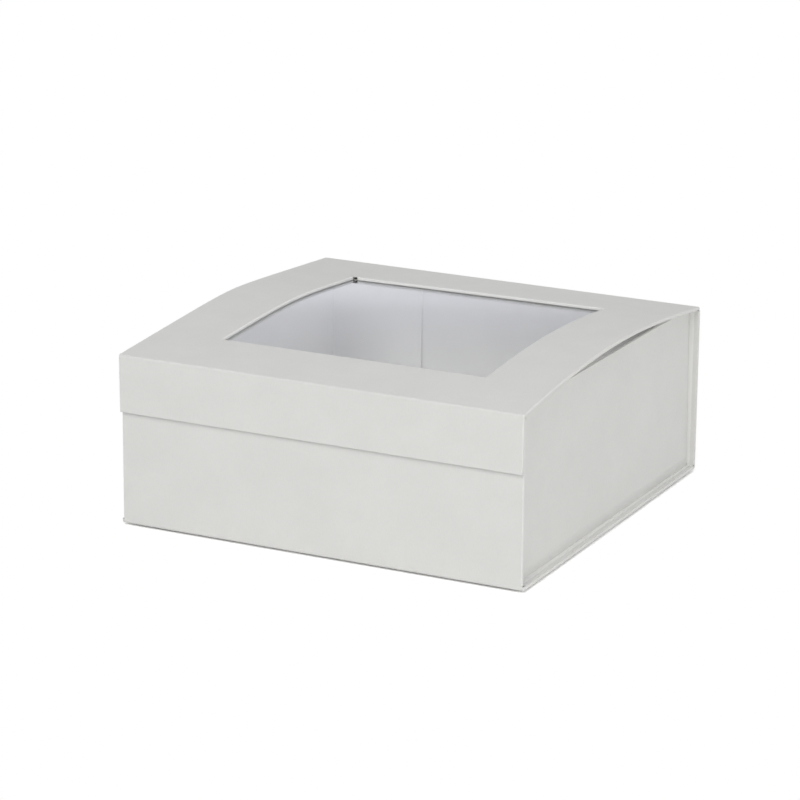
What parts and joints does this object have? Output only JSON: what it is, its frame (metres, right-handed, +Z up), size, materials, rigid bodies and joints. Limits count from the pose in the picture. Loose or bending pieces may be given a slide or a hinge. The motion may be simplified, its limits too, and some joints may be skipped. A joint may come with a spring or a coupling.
{
  "type": "gift box",
  "caption": "Square paper-wrapped board gift box with a bowed hinged lid, a clear film window and a magnetic flap that folds down over the front wall.",
  "frame": {"origin": "centre of the underside, on the surface that the box stands on", "axes": "+Z up, +X to the right along the front as seen from the front, +Y to the back"},
  "size_m": [0.25, 0.25, 0.1094],
  "materials": {
    "white_paper": "matte wrapping paper",
    "greyboard": "raw board",
    "clear_film": "clear film",
    "steel": "plated",
    "tape": "double-sided tape"
  },
  "bodies": {
    "box": {"base_wrap": "white_paper", "base_board": "greyboard", "base_liner": "white_paper", "back_wrap": "white_paper", "back_board": "greyboard", "back_liner": "white_paper", "front_wall_wrap": "white_paper", "front_wall_board": "greyboard", "front_wall_liner": "white_paper", "keeper_left": "steel", "keeper_right": "steel", "base_back_crease": "white_paper", "base_front_crease": "white_paper", "lid_crease": "white_paper", "left_wall_wrap": "white_paper", "left_wall_board": "greyboard", "left_front_ear_board": "greyboard", "left_rear_ear_board": "greyboard", "left_front_tape": "tape", "left_rear_tape": "tape", "right_wall_wrap": "white_paper", "right_wall_board": "greyboard", "right_front_ear_board": "greyboard", "right_rear_ear_board": "greyboard", "right_front_tape": "tape", "right_rear_tape": "tape"},
    "lid": {"lid_wrap": "white_paper", "lid_board": "greyboard", "lid_liner": "white_paper", "window_film": "clear_film", "flap_crease": "white_paper"},
    "flap": {"flap_wrap": "white_paper", "flap_board": "greyboard", "flap_liner": "white_paper", "magnet_left": "steel", "magnet_right": "steel"}
  },
  "joints": [
    {"name": "lid_hinge", "type": "hinge", "parent": "box", "child": "lid", "pos_m": [0, 0.125, 0.1], "axis": [-1, 0, 0], "range_deg": [0, 200], "deforming": ["lid_crease"]},
    {"name": "flap_hinge", "type": "hinge", "parent": "lid", "child": "flap", "pos_m": [0, -0.125, 0.1], "axis": [-1, 0, 0], "range_deg": [0, 90], "deforming": ["flap_crease"]}
  ]
}
